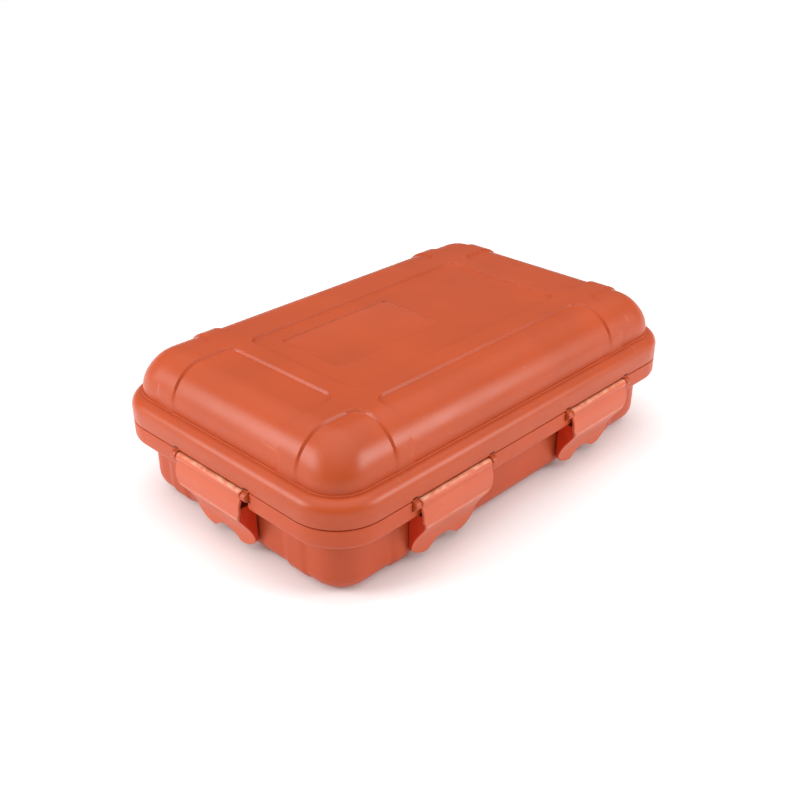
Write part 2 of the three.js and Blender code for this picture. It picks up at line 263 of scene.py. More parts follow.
def work(piece, tool, operation):
    """Adds a solid to a piece or cuts it away, and drops the tool."""
    joined = piece.modifiers.new(operation.lower(), "BOOLEAN")
    joined.object = tool
    joined.operation = operation
    joined.solver = "EXACT"
    apply(piece)
    bpy.data.objects.remove(tool)


def join(parts):
    bpy.ops.object.select_all(action="DESELECT")
    for part in parts:
        part.select_set(True)
    bpy.context.view_layer.objects.active = parts[0]
    if len(parts) > 1:
        bpy.ops.object.join()
    return parts[0]


def bar(radius, x0, x1, y, z, sides, ease=0):
    """A round bar along X, its end edges eased."""
    bpy.ops.mesh.primitive_cylinder_add(
        vertices=sides,
        radius=radius,
        depth=x1 - x0,
        location=((x0 + x1) / 2, y, z),
        rotation=(0, math.pi / 2, 0),
    )
    bpy.ops.object.transform_apply(location=True, rotation=True, scale=True)
    piece = bpy.context.object
    if ease:
        edit(piece)
        pick("EDGE", lambda m, e: all(abs(v.co.x - e.verts[0].co.x) < 1e-4 for v in e.verts))
        round_off(ease, 3)
        done()
    return piece


def turn_to_site(piece, site):
    """Carries a piece made facing -Y, about the middle of its latch, to that latch's place."""
    (x, y), turn = LATCH_SITES[site]
    piece.rotation_euler = (0, 0, math.radians(turn))
    piece.location = (x, y, PARTING)
    settle(piece)
    return piece


def knuckle(spans, pad_z):
    """Hinge knuckles: a barrel drawn out to its pad on the wall by a hull over both."""
    made = []
    for x0, x1 in spans:
        barrel = bar(BARREL_R, x0, x1, HINGE_Y, PARTING, 32)
        pad = block((x0, x1), (HALF_W - 1, HALF_W), pad_z)
        piece = join([barrel, pad])
        edit(piece)
        bpy.ops.mesh.select_all(action="SELECT")
        bpy.ops.mesh.convex_hull()
        bpy.ops.mesh.select_all(action="SELECT")
        bpy.ops.mesh.dissolve_limited(angle_limit=math.radians(1))
        done()
        made.append(piece)
    return made


def set_down(piece, name, body, replaced, material, angle=35):
    """Scales a finished piece to metres, moves it to the row's middle and hangs it on its body."""
    piece.name = piece.data.name = name
    piece.scale = (MM,) * 3
    piece.location = (0, ROW_SHIFT_Y, 0)
    settle(piece)
    bpy.ops.object.shade_smooth_by_angle(angle=math.radians(angle))
    if material:
        piece.data.materials.append(material)
    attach(piece, body)
    if replaced:
        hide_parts(*replaced)


# The dome, opened into fine faces along the bands
lid = rounded_block(4.2, (20, LID_TOP), 13.5, 16, edge=12.6, edge_steps=30, edge_at=LID_TOP)
edit(lid)
beside_bands = steps(43.8, 49.0, 17) + steps(49.8, 53.8, 5) + steps(54.4, 60.4, 20)
slice_across(0, mirrored(beside_bands) + steps(-40, 40, 10))
beside_bands = steps(19.5, 24.7, 17) + steps(25.6, 30.8, 6) + steps(31.4, 34.7, 11)
slice_across(1, mirrored(beside_bands) + steps(-16, 16, 4))
slice_across(2, steps(34, 37, 6))
done()
sink_panels(lid, 0.75, lambda z: 0.45 + 1.7 * eased(41 - z, 8), lambda z: 1 - 0.6 * eased(41 - z, 9))


def fill_corners(piece, reach, start_x, start_y, foot, top):
    """Pushes the upright corners out towards a tighter plan radius, most at the foot and least on top."""
    corners = piece.vertex_groups.new(name="corners")
    for v in piece.data.vertices:
        dx, dy = abs(v.co.x) - start_x, abs(v.co.y) - start_y
        if dx > 0 and dy > 0:
            share = math.sin(2 * math.atan2(dy, dx)) ** 1.6 * eased((foot + top) / 2 - v.co.z, top - foot)
            if share > 0:
                corners.add([v.index], share, "REPLACE")
    push = piece.modifiers.new("corners", "DISPLACE")
    push.vertex_group = "corners"
    push.direction = "NORMAL"
    push.mid_level = 0
    push.strength = reach
    apply(piece)
    piece.vertex_groups.clear()


fill_corners(lid, 1.0, 64.8, 34.8, 36.5, 48.5)

# The recess for a name label in the middle panel
recess = block((-40.5, 5.2), (-9.5, 17), (LABEL_FLOOR, 52))
edit(recess)
pick("EDGE", upright)
round_off(1.1, 5)
pick("EDGE", lying_at(LABEL_FLOOR))
round_off(0.3, 3)
done()
work(lid, recess, "DIFFERENCE")

# The rim, with the small step at the dome's foot
rim_span = (LID_BOTTOM, LID_RIM_TOP)
rim = rounded_block(0, rim_span, RIM_CORNER, 22, edge=3.9, edge_steps=12, edge_at=LID_RIM_TOP)
edit(rim)
pick("EDGE", lying_at(LID_BOTTOM))
round_off(0.35, 3)
done()
work(lid, rim, "UNION")
step_top = 35.75
foot = rounded_block(3.95, (30, step_top), 11.6, 22, edge=0.2, edge_steps=2, edge_at=step_top)
work(lid, foot, "UNION")
under = block((-100, 100), (-70, 70), (0, LID_BOTTOM))
work(lid, under, "DIFFERENCE")

# The hollow, and the groove that holds the seal
ceiling = 46.9
hollow = rounded_block(8.8, (10, ceiling), 9.1, 12, edge=8.2, edge_steps=12, edge_at=ceiling)
work(lid, hollow, "DIFFERENCE")
groove = rounded_block(5.8, (20, PARTING + 4.15), 10.6, 16)
work(groove, rounded_block(7.6, (10, 40), 8.8, 16), "DIFFERENCE")
work(lid, groove, "DIFFERENCE")

# Lugs for the latches
lugs, sockets = [], []
for site in LATCH_SITES:
    for end in (-1, 1):
        x0, x1 = sorted((end * 15.5, end * 17.8))
        lug = bar(BEAD_R, x0, x1, BEAD_Y, BEAD_Z, 32, ease=0.4)
        work(lug, block((x0 + 0.1, x1 - 0.1), (0, 1.3), (BEAD_Z, 1)), "UNION")
        lugs.append(turn_to_site(lug, site))
        x0, x1 = sorted((end * 15.2, end * 17))
        sockets.append(turn_to_site(bar(0.95, x0, x1, BEAD_Y, BEAD_Z, 20), site))
work(lid, join(lugs), "UNION")
work(lid, join(sockets), "DIFFERENCE")

# Hinge knuckles
work(lid, join(knuckle([(x - 6, x + 6) for x in HINGES_X], (LID_BOTTOM, 31.2))), "UNION")
work(lid, join([bar(BORE_R, x - 7, x + 7, HINGE_Y, PARTING, 24) for x in HINGES_X]), "DIFFERENCE")


def group_socket(group, name, kind, into, value=None):
    socket = group.interface.new_socket(name, in_out="INPUT" if into else "OUTPUT", socket_type=kind)
    if value is not None:
        socket.default_value = value
    return socket


def moulded_surface():
    """Node group for moulded polypropylene: a fine spark-eroded grain, flow marks and light scuffs."""
    group = bpy.data.node_groups.new("moulded_surface", "ShaderNodeTree")
    group_socket(group, "Colour", "NodeSocketColor", True, (0.6, 0.12, 0.045, 1))
    group_socket(group, "Pale Colour", "NodeSocketColor", True, (0.8, 0.3, 0.16, 1))
    group_socket(group, "Roughness", "NodeSocketFloat", True, 0.42)
    group_socket(group, "Scuffs", "NodeSocketFloat", True, 0.3)
    group_socket(group, "Colour", "NodeSocketColor", False)
    group_socket(group, "Roughness", "NodeSocketFloat", False)
    group_socket(group, "Height", "NodeSocketFloat", False)
    nodes, link = group.nodes, group.links.new
    given, out = nodes.new("NodeGroupInput"), nodes.new("NodeGroupOutput")
    place = nodes.new("ShaderNodeTexCoord")

    def noise(scale, detail, rough=0.5, stretch=None):
        texture = nodes.new("ShaderNodeTexNoise")
        texture.inputs["Scale"].default_value = scale
        texture.inputs["Detail"].default_value = detail
        texture.inputs["Roughness"].default_value = rough
        if stretch:
            mapping = nodes.new("ShaderNodeMapping")
            mapping.inputs["Scale"].default_value = stretch
            link(place.outputs["Object"], mapping.inputs["Vector"])
            link(mapping.outputs["Vector"], texture.inputs["Vector"])
        else:
            link(place.outputs["Object"], texture.inputs["Vector"])
        return texture.outputs["Fac"]

    def ranged(value, low, high, to_low, to_high):
        box = nodes.new("ShaderNodeMapRange")
        box.inputs["From Min"].default_value = low
        box.inputs["From Max"].default_value = high
        box.inputs["To Min"].default_value = to_low
        box.inputs["To Max"].default_value = to_high
        link(value, box.inputs["Value"])
        return box.outputs["Result"]

    def times(a, b):
        box = nodes.new("ShaderNodeMath")
        box.operation = "MULTIPLY"
        for value, socket in ((a, box.inputs[0]), (b, box.inputs[1])):
            if isinstance(value, (int, float)):
                socket.default_value = value
            else:
                link(value, socket)
        return box.outputs["Value"]

    def plus(a, b):
        box = nodes.new("ShaderNodeMath")
        link(a, box.inputs[0])
        link(b, box.inputs[1])
        return box.outputs["Value"]

    def mixed(share, a, b, blend="MIX"):
        box = nodes.new("ShaderNodeMix")
        box.data_type = "RGBA"
        box.blend_type = blend
        for value, socket in ((share, box.inputs[0]), (a, box.inputs[6]), (b, box.inputs[7])):
            if isinstance(value, (int, float, tuple)):
                socket.default_value = value
            else:
                link(value, socket)
        return box.outputs[2]

    mottle = ranged(noise(38, 3), 0.35, 0.65, 0.95, 1.04)
    fine = ranged(noise(1700, 2), 0.3, 0.7, 0.985, 1.015)
    tint = nodes.new("ShaderNodeCombineColor")
    shade = times(mottle, fine)
    for i in range(3):
        link(shade, tint.inputs[i])
    toned = mixed(1.0, given.outputs["Colour"], tint.outputs[0], "MULTIPLY")
    scratch = times(
        ranged(noise(260, 4, 0.65, (1.0, 0.12, 1.0)), 0.64, 0.72, 0, 1),
        ranged(noise(30, 2), 0.5, 0.62, 0, 1),
    )
    share = times(scratch, given.outputs["Scuffs"])
    link(mixed(share, toned, given.outputs["Pale Colour"]), out.inputs["Colour"])
    rough = plus(given.outputs["Roughness"], ranged(noise(55, 3), 0.3, 0.7, -0.035, 0.045))
    link(plus(rough, times(share, 0.2)), out.inputs["Roughness"])
    grain = plus(times(noise(3600, 2), 1.0), times(noise(900, 2), 0.6))
    link(grain, out.inputs["Height"])
    return group


MOULDED = moulded_surface()


def moulded_plastic(name, colour, pale, roughness, scuffs, grain=0.05):
    """Satin polypropylene, coloured through."""
    material = bpy.data.materials.new(name)
    material.use_nodes = True
    nodes, link = material.node_tree.nodes, material.node_tree.links.new
    shader = nodes["Principled BSDF"]
    shader.inputs["IOR"].default_value = 1.49
    shader.inputs["Specular IOR Level"].default_value = 0.36
    surface = nodes.new("ShaderNodeGroup")
    surface.node_tree = MOULDED
    surface.inputs["Colour"].default_value = (*colour, 1)
    surface.inputs["Pale Colour"].default_value = (*pale, 1)
    surface.inputs["Roughness"].default_value = roughness
    surface.inputs["Scuffs"].default_value = scuffs
    bump = nodes.new("ShaderNodeBump")
    bump.inputs["Strength"].default_value = grain
    bump.inputs["Distance"].default_value = 0.0002
    link(surface.outputs["Colour"], shader.inputs["Base Color"])
    link(surface.outputs["Roughness"], shader.inputs["Roughness"])
    link(surface.outputs["Height"], bump.inputs["Height"])
    link(bump.outputs["Normal"], shader.inputs["Normal"])
    return material


lid_plastic = moulded_plastic("lid_plastic", (0.445, 0.064, 0.014), (0.70, 0.26, 0.14), 0.35, 0.25)
set_down(lid, "lid_shell_moulding", "lid", ["lid_shell"], lid_plastic)


# Base: the same polypropylene, moulded as a tray. Its bowl carries the lid's panel pattern down its sides,
# under a rim band that is cut clear behind each latch. A tongue on the rim runs in the lid's groove.
RIM_BOTTOM, BASE_TOP = 20.3, PARTING - 0.15
base = rounded_block(5.5, (0, BASE_TOP), 10.9, 12, edge=6.8, edge_steps=16, edge_at=0)
edit(base)
slice_across(0, mirrored(steps(44.6, 66, 44)) + steps(-40, 40, 8))
slice_across(1, mirrored(steps(20.4, 36, 32)) + steps(-16, 16, 4))
slice_across(1, mirrored(steps(36.6, 40, 6)), lambda m, f: abs(m.x) < 66 and m.z < 0.1)
slice_across(2, steps(8, 24, 8))
done()
sink_panels(base, 0.5, lambda z: 0.9 + 1.8 * min(z / 7, 1), lambda z: 1)

band_span = (RIM_BOTTOM, BASE_TOP)
band = rounded_block(0, band_span, RIM_CORNER, 22, edge=2, edge_steps=8, edge_at=RIM_BOTTOM)
edit(band)
pick("EDGE", lying_at(BASE_TOP))
round_off(0.35, 3)
done()
work(base, band, "UNION")
tongue_top = BASE_TOP + 2.2
tongue = rounded_block(6.1, (24, tongue_top), 10.3, 16, edge=0.25, edge_steps=2, edge_at=tongue_top)
work(tongue, rounded_block(7.3, (20, 40), 9.1, 16), "DIFFERENCE")
work(base, tongue, "UNION")
tray_floor = 2.9
tray = rounded_block(8, (tray_floor, 60), 8.4, 12, edge=4.5, edge_steps=10, edge_at=tray_floor)
work(base, tray, "DIFFERENCE")

# Seats behind the latches, long towards the front on the side ones, and pockets for the lid's lugs
for site, (low, high) in {
    "front_left_latch": (-14.4, 14.4),
    "front_right_latch": (-14.4, 14.4),
    "left_latch": (-14.4, 17.3),
    "right_latch": (-17.3, 14.4),
}.items():
    seat = block((low, high), (-5, 5.5), (-7.7, 5))
    work(seat, block((-18.1, 18.1), (-5, 1.75), (-3.35, 5)), "UNION")
    work(base, turn_to_site(seat, site), "DIFFERENCE")

spans = [(x + e * 9.8 - 3.5, x + e * 9.8 + 3.5) for x in HINGES_X for e in (-1, 1)]
work(base, join(knuckle(spans, (RIM_BOTTOM + 1, BASE_TOP))), "UNION")
work(base, join([bar(BORE_R, x - 14.3, x + 14.3, HINGE_Y, PARTING, 24) for x in HINGES_X]), "DIFFERENCE")
base_plastic = moulded_plastic("base_plastic", (0.47, 0.063, 0.013), (0.70, 0.26, 0.14), 0.42, 0.2)
set_down(base, "base_shell_moulding", "base", ["base_shell"], base_plastic)


# Latches: four like clips of a softer, pinker plastic. Each hangs from the lid's lugs by the trunnions of
# its bead, swells to a crest, and curls in under the rim, with an arch for a finger in its lower edge.
PLATE_HALF, TAB_HALF, CREST_Z, TAB_BOTTOM = 15.2, 14.0, -9.6, -24.4
ARCH_HALF = 6.4


def along(points, count):
    """Points evenly spaced by length on a smooth curve through the given ones."""
    ends = [points[0], *points, points[-1]]
    fine = []
    for i in range(1, len(ends) - 2):
        p0, p1, p2, p3 = (Vector(p) for p in ends[i - 1:i + 3])
        for j in range(12):
            t = j / 12
            fine.append(0.5 * (
                2 * p1 + (p2 - p0) * t
                + (2 * p0 - 5 * p1 + 4 * p2 - p3) * t * t
                + (3 * p1 - 3 * p2 + p3 - p0) * t ** 3
            ))
    fine.append(Vector(points[-1]))
    lengths = [0]
    for a, b in zip(fine, fine[1:]):
        lengths.append(lengths[-1] + (b - a).length)
    even, k = [], 0
    for i in range(count + 1):
        goal = lengths[-1] * i / count
        while k < len(fine) - 2 and lengths[k + 1] < goal:
            k += 1
        share = (goal - lengths[k]) / (lengths[k + 1] - lengths[k])
        even.append(fine[k].lerp(fine[k + 1], share))
    return even


skin = along(
    [
        (-0.9, -1.5), (-1.2, -2.6), (-1.45, -3.5), (-1.9, -4.6), (-2.08, -6), (-2.12, -8), (-2.12, -9.4),
        (-1.5, -10.8), (0.1, -13), (1.7, -15.2), (3, -17.4), (3.8, -19.3), (4.15, -21.5), (4.2, -25),
    ],
    300,
)


def skin_length_to(height):
    return next((i for i, p in enumerate(skin) if p.y <= height), len(skin) - 1)


def tab_edge(u):
    """Height of the tab's lower edge: an arch for a finger between two rounded corners."""
    u = abs(u)
    if u <= ARCH_HALF:
        return TAB_BOTTOM + 2.7 * (1 - (u / ARCH_HALF) ** 2)
    for i in range(201):
        t = i / 200
        if (1 - t) ** 2 * TAB_HALF + 2 * t * (1 - t) * 11.8 + t ** 2 * ARCH_HALF <= u + 1e-6:
            break
    return (1 - t) ** 2 * (TAB_BOTTOM + 4) + 2 * t * (1 - t) * (TAB_BOTTOM + 0.2) + t * t * TAB_BOTTOM


def half_width(z):
    return PLATE_HALF + (TAB_HALF - PLATE_HALF) * eased(CREST_Z + 0.9 - z, 3)


bpy.ops.mesh.primitive_grid_add(x_subdivisions=56, y_subdivisions=44, size=2)
latch = bpy.context.object
for v in latch.data.vertices:
    across, down = v.co.x, (1 - v.co.y) / 2
    spot = skin[round(down * skin_length_to(tab_edge(across * TAB_HALF)))]
    v.co = (across * half_width(spot.y), spot.x, spot.y)
wall = latch.modifiers.new("wall", "SOLIDIFY")
wall.thickness = 1.0
wall.offset = -1
ease = latch.modifiers.new("ease", "BEVEL")
ease.width = 0.28
ease.segments = 3
ease.limit_method = "ANGLE"
ease.angle_limit = math.radians(60)
apply(latch)

cheek_outline = [
    (-0.9, -7), (5.2, -7), (5.2, -20.6), (4.6, -20.6),
    (3.7, -17.9), (2.3, -15.2), (0.7, -12.8), (-0.9, -10.6),
]
for end in (-1, 1):
    bpy.ops.mesh.primitive_circle_add(vertices=8, fill_type="NGON")
    cheek = bpy.context.object
    for v, (y, z) in zip(cheek.data.vertices, cheek_outline):
        v.co = (end * TAB_HALF, y, z)
    edit(cheek)
    bpy.ops.mesh.select_all(action="SELECT")
    bpy.ops.mesh.extrude_region_move(TRANSFORM_OT_translate={"value": (-end * 1.2, 0, 0)})
    bpy.ops.mesh.select_all(action="SELECT")
    bpy.ops.mesh.normals_make_consistent(inside=False)
    pick("EDGE", lambda m, e: abs(m.x) > TAB_HALF - 0.01 and m.y > 5.1)
    round_off(0.3, 2)
    done()
    work(latch, cheek, "UNION")
work(latch, block((-13.5, 13.5), (-1, 2.6), (-8.3, -7)), "UNION")
work(latch, bar(BEAD_R, -PLATE_HALF, PLATE_HALF, BEAD_Y, BEAD_Z, 36, ease=0.4), "UNION")
trunnion_end = PLATE_HALF + 1.6
work(latch, bar(0.7, -trunnion_end, trunnion_end, BEAD_Y, BEAD_Z, 20, ease=0.15), "UNION")


def clip_plastic():
    """The latches' plastic, with pale lines of painted highlight, broken up by noise, along the top of the
    bead and along the crest.
    """
    material = moulded_plastic("latch_plastic", (0.57, 0.108, 0.046), (0.92, 0.50, 0.36), 0.38, 0.2)
    nodes, link = material.node_tree.nodes, material.node_tree.links.new
    surface, shader = nodes["Group"], nodes["Principled BSDF"]
    place, split = nodes.new("ShaderNodeTexCoord"), nodes.new("ShaderNodeSeparateXYZ")
    link(place.outputs["Object"], split.inputs[0])
    ramp = nodes.new("ShaderNodeValToRGB")
    ramp.color_ramp.interpolation = "EASE"
    # Painted highlight: pale bands at two heights, one on the crest and one on the top of the bead.
    stops = [(0.0, 0), (0.615, 0), (0.64, 0.45), (0.665, 0), (0.972, 0), (0.986, 0.75), (1.0, 0.75)]
    while len(ramp.color_ramp.elements) < len(stops):
        ramp.color_ramp.elements.new(0.5)
    for element, (at, value) in zip(ramp.color_ramp.elements, stops):
        element.position = at
        element.color = (value, value, value, 1)
    height = nodes.new("ShaderNodeMapRange")
    height.inputs["From Min"].default_value = 0.0
    height.inputs["From Max"].default_value = 0.027
    link(split.outputs["Z"], height.inputs["Value"])
    link(height.outputs["Result"], ramp.inputs["Fac"])
    ragged = nodes.new("ShaderNodeTexNoise")
    ragged.inputs["Scale"].default_value = 420
    ragged.inputs["Detail"].default_value = 3
    link(place.outputs["Object"], ragged.inputs["Vector"])
    breaks = nodes.new("ShaderNodeMapRange")
    breaks.inputs["From Min"].default_value = 0.38
    breaks.inputs["From Max"].default_value = 0.62
    breaks.inputs["To Min"].default_value = 0.25
    link(ragged.outputs["Fac"], breaks.inputs["Value"])
    share = nodes.new("ShaderNodeMath")
    share.operation = "MULTIPLY"
    link(ramp.outputs["Color"], share.inputs[0])
    link(breaks.outputs["Result"], share.inputs[1])
    # Mixes in the pale colour of the painted highlight.
    paint = nodes.new("ShaderNodeMix")
    paint.data_type = "RGBA"
    link(share.outputs["Value"], paint.inputs[0])
    link(surface.outputs["Colour"], paint.inputs[6])
    paint.inputs[7].default_value = (0.84, 0.42, 0.27, 1)
    link(paint.outputs[2], shader.inputs["Base Color"])
    return material


latch_plastic = clip_plastic()
# The cheeks take a deeper, darker red than the plates: painted shade, standing in for the shade and red
# bounce light that fall on them under the plate.
shaded_cheek_paint = moulded_plastic("latch_cheek_painted_shade", (0.60, 0.034, 0.005), (0.5, 0.06, 0.02), 0.5, 0.0)
latch.data.materials.append(latch_plastic)
latch.data.materials.append(shaded_cheek_paint)
# Faces on the sides of the cheeks get the painted shade.
for face in latch.data.polygons:
    beside = abs(face.normal.x) > 0.7 and abs(face.center.x) > 13
    if beside and -20.8 < face.center.z < -3 and face.center.y > -0.9:
        face.material_index = 1
for site in LATCH_SITES:
    clip = latch.copy()
    clip.data = latch.data.copy()
    scene.collection.objects.link(clip)
    turn_to_site(clip, site)
    set_down(clip, site + "_clip", site.replace("_latch", ""), [site], None)
bpy.data.objects.remove(latch)


# Seal ring: a soft black silicone cord, rounded all along, pressed into the lid's groove above the tongue.
seal = rounded_block(6, (29.4, 30.85), 10.4, 22)
work(seal, rounded_block(7.4, (20, 40), 9, 22), "DIFFERENCE")
soften = seal.modifiers.new("soften", "BEVEL")
soften.width = 0.5
soften.segments = 4
soften.limit_method = "ANGLE"
soften.angle_limit = math.radians(60)
apply(seal)


def plain_material(name, colour, roughness, metallic=0.0, noise_scale=900.0, spread=0.06, height=0.15):
    """A material whose tone and surface are broken up by one fine noise."""
    material = bpy.data.materials.new(name)
    material.use_nodes = True
    nodes, link = material.node_tree.nodes, material.node_tree.links.new
    shader = nodes["Principled BSDF"]
    shader.inputs["Roughness"].default_value = roughness
    shader.inputs["Metallic"].default_value = metallic
    place, noise = nodes.new("ShaderNodeTexCoord"), nodes.new("ShaderNodeTexNoise")
    noise.inputs["Scale"].default_value = noise_scale
    noise.inputs["Detail"].default_value = 4
    link(place.outputs["Object"], noise.inputs["Vector"])
    tone = nodes.new("ShaderNodeValToRGB")
    tone.color_ramp.elements[0].position = 0.3
    tone.color_ramp.elements[1].position = 0.7
    tone.color_ramp.elements[0].color = (*[c * (1 - spread) for c in colour], 1)
    tone.color_ramp.elements[1].color = (*[min(c * (1 + spread), 1) for c in colour], 1)
    link(noise.outputs["Fac"], tone.inputs["Fac"])
    link(tone.outputs["Color"], shader.inputs["Base Color"])
    bump = nodes.new("ShaderNodeBump")
    bump.inputs["Strength"].default_value = height
    bump.inputs["Distance"].default_value = 0.0003
    link(noise.outputs["Fac"], bump.inputs["Height"])
    link(bump.outputs["Normal"], shader.inputs["Normal"])
    return material


rubber = plain_material(
    "seal_rubber", (0.022, 0.022, 0.024), 0.62, noise_scale=1400, spread=0.2, height=0.1
)
set_down(seal, "seal_ring_cord", "lid", ["seal_ring"], rubber)


# Hinge pins: bright steel wire, cut to length and pushed through the knuckles, with eased ends.
pin_steel = plain_material(
    "pin_steel", (0.58, 0.58, 0.60), 0.28, 1.0, noise_scale=2600, spread=0.12, height=0.05
)
for name, x in (("hinge_pin_left", HINGES_X[0]), ("hinge_pin_right", HINGES_X[1])):
    pin = bar(0.8, x - 12.8, x + 12.8, HINGE_Y, PARTING, 28, ease=0.2)
    set_down(pin, name + "_wire", "base", [name], pin_steel)


# Foam pads: die-cut sheets of charcoal polyurethane foam, one glued to the tray's floor and one to the
# ceiling of the lid. The edge of the face is eased, and open cells leave it a little uneven.
def foam_pad(inset, corner, z, face_up):
    pad = rounded_block(inset, z, corner, 8)
    edit(pad)
    face = z[1] if face_up else z[0]
    pick("EDGE", lying_at(face))
    round_off(0.5, 3)
    slice_across(0, steps(-68, 68, 68))
    slice_across(1, steps(-38, 38, 38))
    done()
    cells = bpy.data.textures.new("foam_rise", "CLOUDS")
    cells.noise_scale = 9
    soft = pad.vertex_groups.new(name="face")
    soft.add([v.index for v in pad.data.vertices if abs(v.co.z - face) < 0.01], 1, "REPLACE")
    rise = pad.modifiers.new("rise", "DISPLACE")
    rise.texture = cells
    rise.vertex_group = "face"
    rise.direction = "NORMAL"
    rise.texture_coords = "LOCAL"
    rise.mid_level = 1.0
    rise.strength = 0.5
    apply(pad)
    pad.vertex_groups.clear()
    return pad


def foam_material():
    material = plain_material("foam", (0.045, 0.047, 0.052), 0.95, noise_scale=700, spread=0.25, height=0.2)
    nodes, link = material.node_tree.nodes, material.node_tree.links.new
    pores = nodes.new("ShaderNodeTexVoronoi")
    pores.inputs["Scale"].default_value = 1500
    link(nodes["Texture Coordinate"].outputs["Object"], pores.inputs["Vector"])
    depth = nodes.new("ShaderNodeMapRange")
    depth.inputs["From Max"].default_value = 0.6
    link(pores.outputs["Distance"], depth.inputs["Value"])
    link(depth.outputs["Result"], nodes["Bump"].inputs["Height"])
    nodes["Bump"].inputs["Strength"].default_value = 0.7
    return material


foam = foam_material()
for name, body, pad in (
    ("base_foam_pad", "base", foam_pad(11.2, 6, (3.2, 6.2), True)),
    ("lid_foam_pad", "lid", foam_pad(15.9, 3, (43.6, 46.6), False)),
):
    set_down(pad, name + "_sheet", body, [name], foam)


# Bandages: two cotton crepe bandages, each wound from one long strip, so that its ends show the coil
# and its outer end lies along the roll. They lie side by side across the tray.
CONTENTS_Z = 6.5
ROLL_R, ROLL_LENGTH, ROLL_PITCH, ROLL_TURNS = 9.15, 60, 0.78, 9
bpy.ops.mesh.primitive_grid_add(x_subdivisions=ROLL_TURNS * 40, y_subdivisions=24, size=2)
roll = bpy.context.object
for v in roll.data.vertices:
    turn = (v.co.x + 1) / 2 * ROLL_TURNS
    radius = ROLL_R - ROLL_PITCH * (ROLL_TURNS - turn)
    angle = 2 * math.pi * turn + 0.6
    ruffle = 0.10 * math.sin(turn * 7.3) * abs(v.co.y) ** 8
    reach = v.co.y * (ROLL_LENGTH / 2 - 0.45 + 0.3 * math.sin(turn * 2.1))
    v.co = ((radius + ruffle) * math.cos(angle), reach, (radius + ruffle) * math.sin(angle))
edit(roll)
bpy.ops.mesh.select_all(action="SELECT")
bpy.ops.mesh.normals_make_consistent(inside=False)
done()
cloth = roll.modifiers.new("cloth", "SOLIDIFY")
cloth.thickness = 0.5
cloth.offset = 0
apply(roll)


def crepe_material():
    """Stretch crepe: crossing threads, drawn up into close ribs."""
    material = plain_material(
        "bandage_cotton", (0.80, 0.77, 0.68), 0.9, noise_scale=420, spread=0.05, height=0.1
    )
    nodes, link = material.node_tree.nodes, material.node_tree.links.new
    place = nodes["Texture Coordinate"]
    heights = []
    for direction, scale in (("Y", 480), ("X", 560)):
        threads = nodes.new("ShaderNodeTexWave")
        threads.bands_direction = direction
        threads.inputs["Scale"].default_value = scale
        threads.inputs["Distortion"].default_value = 1.2
        threads.inputs["Detail Scale"].default_value = 2
        link(place.outputs["Object"], threads.inputs["Vector"])
        heights.append(threads.outputs["Fac"])
    both = nodes.new("ShaderNodeMath")
    both.operation = "MAXIMUM"
    link(heights[0], both.inputs[0])
    link(heights[1], both.inputs[1])
    link(both.outputs["Value"], nodes["Bump"].inputs["Height"])
    nodes["Bump"].inputs["Strength"].default_value = 0.6
    nodes["Principled BSDF"].inputs["Sheen Weight"].default_value = 0.3
    return material


bandage_cotton = crepe_material()
for name, x in (("bandage_roll_left", -58), ("bandage_roll_right", -38.4)):
    bandage = roll.copy()
    bandage.data = roll.data.copy()
    scene.collection.objects.link(bandage)
    bandage.location = (x, -10.5, CONTENTS_Z + 9.35)
    bandage.rotation_euler = (0, 0.5 if x < -50 else 1.3, 0)
    settle(bandage)
    set_down(bandage, name + "_crepe", "base", [name], bandage_cotton, angle=50)
bpy.data.objects.remove(roll)


# Tape: white cloth tape wound on a pulp-board core, lying flat in the corner of the tray.
TAPE_AT, TAPE_WIDTH = (-50, 31.5), 12.5


def hoop(outer, inner, height, sides, ease):
    bpy.ops.mesh.primitive_cylinder_add(vertices=sides, radius=outer, depth=height)
    ring = bpy.context.object
    bpy.ops.mesh.primitive_cylinder_add(vertices=sides, radius=inner, depth=height + 4)
    work(ring, bpy.context.object, "DIFFERENCE")
    soften = ring.modifiers.new("soften", "BEVEL")
    soften.width = ease
    soften.segments = 3
    soften.limit_method = "ANGLE"
    soften.angle_limit = math.radians(60)
    apply(ring)
    ring.location = (*TAPE_AT, CONTENTS_Z + height / 2)
    settle(ring)
    return ring


def wound_material(name, colour, roughness, layers):
    """Rings of wound layers on the ends, with a fine noise in the tone."""
    material = plain_material(name, colour, roughness, noise_scale=1100, spread=0.05, height=0.1)
    nodes, link = material.node_tree.nodes, material.node_tree.links.new
    centre = nodes.new("ShaderNodeMapping")
    centre.inputs["Location"].default_value = (0.050, -0.03005, 0)
    link(nodes["Texture Coordinate"].outputs["Object"], centre.inputs["Vector"])
    rings = nodes.new("ShaderNodeTexWave")
    rings.wave_type = "RINGS"
    rings.rings_direction = "Z"
    rings.inputs["Scale"].default_value = layers
    rings.inputs["Distortion"].default_value = 0.6
    link(centre.outputs["Vector"], rings.inputs["Vector"])
    link(rings.outputs["Fac"], nodes["Bump"].inputs["Height"])
    nodes["Bump"].inputs["Strength"].default_value = 0.5
    return material


cloth_tape = wound_material("cloth_tape", (0.84, 0.83, 0.79), 0.75, 900)
core_card = wound_material("core_card", (0.42, 0.30, 0.18), 0.9, 500)
winding = hoop(11.4, 7.9, TAPE_WIDTH, 96, 0.25)
set_down(winding, "tape_roll_wound", "base", ["tape_roll"], cloth_tape)
core = hoop(7.6, 6.4, TAPE_WIDTH, 72, 0.2)
set_down(core, "tape_core_tube", "base", ["tape_core"], core_card)


